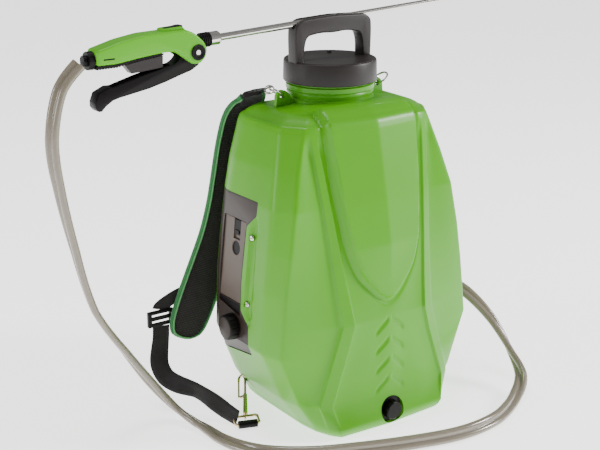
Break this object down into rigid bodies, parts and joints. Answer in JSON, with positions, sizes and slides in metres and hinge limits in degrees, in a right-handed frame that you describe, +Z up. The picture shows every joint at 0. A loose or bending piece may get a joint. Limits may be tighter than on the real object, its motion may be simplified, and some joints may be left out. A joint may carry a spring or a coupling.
{
  "type": "backpack sprayer",
  "caption": "Knapsack sprayer: moulded tank with screw lid and carrying handle, battery side unit, pump, shoulder straps, twin hose, trigger gun and lance.",
  "frame": {"origin": "on the floor under the lid's turning axis", "axes": "+Z up, -Y the tank's front, +Y the wearer's back, -X the side with the battery door and knob"},
  "size_m": [0.7377, 0.3246, 0.5693],
  "materials": {
    "green_plastic": "satin translucent moulding",
    "dark_plastic": "fine grain",
    "panel_plastic": "satin",
    "black_plastic": "satin",
    "rubber": "matt",
    "steel": "bright zinc or stainless",
    "brass": "yellow zinc",
    "webbing": "woven",
    "pad_fabric": "padded mesh",
    "hose": "translucent",
    "white_plastic": "plain",
    "battery": "plain"
  },
  "bodies": {
    "tank": {"tank_shell": "green_plastic", "filler_strainer": "black_plastic", "side_housing": "panel_plastic", "battery_pack": "battery", "controller": "black_plastic", "panel_screw_1": "steel", "panel_screw_2": "steel", "pump_cover": "panel_plastic", "pump_motor": "steel", "pump_head": "black_plastic", "suction_pipe": "white_plastic", "outlet_manifold": "black_plastic", "drain_seal": "rubber", "hose_supply": "hose", "hose_return": "hose", "strap_ring_left": "steel", "strap_link_left": "steel", "top_webbing_left": "webbing", "strap_pad_left": "pad_fabric", "tab_webbing_left": "webbing", "ladder_buckle_left": "dark_plastic", "lower_webbing_left": "webbing", "wire_loop_left": "steel", "web_roll_left": "webbing", "snap_hook_left": "brass", "strap_ring_right": "steel", "strap_link_right": "steel", "top_webbing_right": "webbing", "strap_pad_right": "pad_fabric", "tab_webbing_right": "webbing", "ladder_buckle_right": "dark_plastic", "lower_webbing_right": "webbing", "wire_loop_right": "steel", "web_roll_right": "webbing", "snap_hook_right": "brass"},
    "lid": {"lid": "dark_plastic", "lid_gasket": "rubber", "vent_valve": "rubber"},
    "gun": {"gun_body": "green_plastic", "rear_cap": "black_plastic", "pivot_pin": "steel", "grip_strip": "black_plastic", "front_collar": "black_plastic", "lance_tube": "steel", "lance_extension": "steel", "nozzle_elbow": "brass", "valve_spring": "steel"},
    "trigger": {"trigger_lever": "black_plastic"},
    "trigger_lock": {"trigger_lock": "dark_plastic"},
    "thumb": {"thumb_button": "black_plastic"},
    "valve": {"valve_rod": "brass"},
    "nut": {"lance_nut": "steel"},
    "nozzle": {"nozzle_cap": "black_plastic"},
    "door": {"battery_door": "panel_plastic"},
    "latch": {"door_latch": "black_plastic"},
    "knob": {"speed_knob": "black_plastic"},
    "drain": {"drain_cap": "black_plastic"},
    "gate_left": {"hook_gate_left": "steel"},
    "gate_right": {"hook_gate_right": "steel"}
  },
  "joints": [
    {"name": "lid_turn", "type": "hinge", "parent": "tank", "child": "lid", "pos_m": [0, 0, 0.45], "axis": [0, 0, 1], "range_deg": [0, 90]},
    {"name": "gun_lift", "type": "hinge", "parent": "lid", "child": "gun", "pos_m": [-0.3478, 0, 0.496], "axis": [0, -1, 0], "range_deg": [0, 20]},
    {"name": "trigger_squeeze", "type": "hinge", "parent": "gun", "child": "trigger", "pos_m": [-0.2045, 0, 0.4955], "axis": [0, 1, 0], "range_deg": [0, 8], "stiffness_Nm_per_rad": 2, "springref_deg": -17.19},
    {"name": "valve_slide", "type": "slide", "parent": "gun", "child": "valve", "axis": [0.9978, 0, 0.0659], "range_m": [0, 0.003]},
    {"name": "trigger_lock_slide", "type": "slide", "parent": "gun", "child": "trigger_lock", "axis": [1, 0, 0], "range_m": [-0.004, 0]},
    {"name": "thumb_press", "type": "slide", "parent": "gun", "child": "thumb", "axis": [0, 0, -1], "range_m": [0, 0.003], "stiffness_N_per_m": 500, "springref_m": -0.001},
    {"name": "lance_nut_turn", "type": "hinge", "parent": "gun", "child": "nut", "pos_m": [-0.175, 0, 0.50804], "axis": [0.9983, 0, 0.0576], "continuous": true},
    {"name": "nozzle_turn", "type": "hinge", "parent": "gun", "child": "nozzle", "pos_m": [0.32618, 0, 0.55325], "axis": [0.5651, 0, 0.825], "range_deg": [0, 180]},
    {"name": "door_swing", "type": "hinge", "parent": "tank", "child": "door", "pos_m": [-0.1576, 0, 0.166], "axis": [0, -1, 0], "range_deg": [0, 90]},
    {"name": "door_latch_slide", "type": "slide", "parent": "door", "child": "latch", "axis": [-0.1068, 0, -0.9943], "range_m": [0, 0.004], "stiffness_N_per_m": 300, "springref_m": -0.001},
    {"name": "speed_turn", "type": "hinge", "parent": "tank", "child": "knob", "pos_m": [-0.1614, -0.0094, 0.1315], "axis": [-1, 0, 0], "range_deg": [0, 270]},
    {"name": "drain_turn", "type": "hinge", "parent": "tank", "child": "drain", "pos_m": [0, -0.135, 0.021], "axis": [0, -1, 0], "range_deg": [0, 180]},
    {"name": "hook_gate_left_open", "type": "hinge", "parent": "tank", "child": "gate_left", "pos_m": [-0.14554, 0.004, 0.01814], "axis": [0.5593, -0.0114, -0.8289], "range_deg": [0, 5.5], "stiffness_Nm_per_rad": 0.01, "springref_deg": -17.19},
    {"name": "hook_gate_right_open", "type": "hinge", "parent": "tank", "child": "gate_right", "pos_m": [0.14554, 0.004, 0.01814], "axis": [0.5593, 0.0114, 0.8289], "range_deg": [0, 5.5], "stiffness_Nm_per_rad": 0.01, "springref_deg": -17.19}
  ],
  "couplings": [
    {"joint": "valve_slide", "follows": "trigger_squeeze", "m_per_rad": 0.02106}
  ]
}
